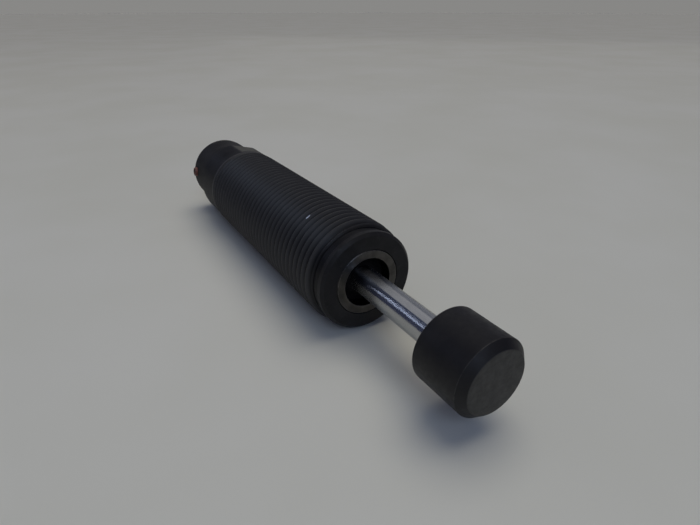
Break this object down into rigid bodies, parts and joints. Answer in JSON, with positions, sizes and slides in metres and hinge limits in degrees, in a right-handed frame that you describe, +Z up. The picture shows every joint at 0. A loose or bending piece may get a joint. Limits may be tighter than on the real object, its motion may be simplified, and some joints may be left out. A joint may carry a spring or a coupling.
{
  "type": "industrial shock absorber",
  "caption": "Hydraulic shock absorber with a fully threaded body, a sprung polished rod, a round strike button and a rear knob that adjusts the damping.",
  "frame": {"origin": "on the body's axis, at the middle of the mounting thread", "axes": "+X along the axis, out of the front towards the strike button; +Z up as it lies on a table; +Y completes the set"},
  "size_m": [0.1401, 0.0254, 0.0254],
  "materials": {
    "black_oxide_steel": "black oxide, satin, rubbed grey on edges and flats",
    "black_oxide_button": "black oxide, satin, worn bare on the strike face",
    "bare_steel": "turned bare steel, dulled",
    "chrome_rod": "polished hard chrome",
    "black_knob": "black anodised, satin",
    "red_sealed_screw": "steel screw under red sealing lacquer",
    "bronze": "turned bronze",
    "inner_steel": "turned steel, oiled",
    "seal_rubber": "moulded nitrile, matte",
    "foam": "closed-cell foam"
  },
  "bodies": {
    "barrel": {"outer_body": "black_oxide_steel", "front_gland": "bare_steel", "gland_o_ring": "seal_rubber", "rod_wiper": "seal_rubber", "rod_seal": "seal_rubber", "seal_washer": "inner_steel", "rod_bearing": "bronze", "accumulator_foam": "foam", "pressure_tube": "inner_steel", "tube_plug": "inner_steel", "return_spring": "inner_steel", "rear_plug": "inner_steel", "plug_o_ring": "seal_rubber", "plug_retaining_ring": "inner_steel", "fill_seal": "bronze", "fill_screw": "inner_steel"},
    "rod": {"piston_rod": "chrome_rod", "strike_button": "black_oxide_button", "piston": "inner_steel", "piston_ring": "bronze", "piston_nut": "inner_steel"},
    "check_valve": {"check_ring": "inner_steel"},
    "adjuster": {"metering_sleeve": "inner_steel", "adjuster_shaft": "inner_steel", "adjuster_o_ring": "seal_rubber", "shaft_retaining_ring": "inner_steel", "adjuster_knob": "black_knob", "lock_screw": "red_sealed_screw"}
  },
  "joints": [
    {"name": "rod_slide", "type": "slide", "parent": "barrel", "child": "rod", "axis": [-1, 0, 0], "range_m": [0, 0.0254], "stiffness_N_per_m": 835, "springref_m": -0.0155, "deforming": ["return_spring"]},
    {"name": "check_ring_lift", "type": "slide", "parent": "rod", "child": "check_valve", "axis": [-1, 0, 0], "range_m": [0, 0.0006]},
    {"name": "adjuster_turn", "type": "hinge", "parent": "barrel", "child": "adjuster", "pos_m": [-0.05064, 0, 0], "axis": [1, 0, 0], "range_deg": [-90, 90]}
  ]
}
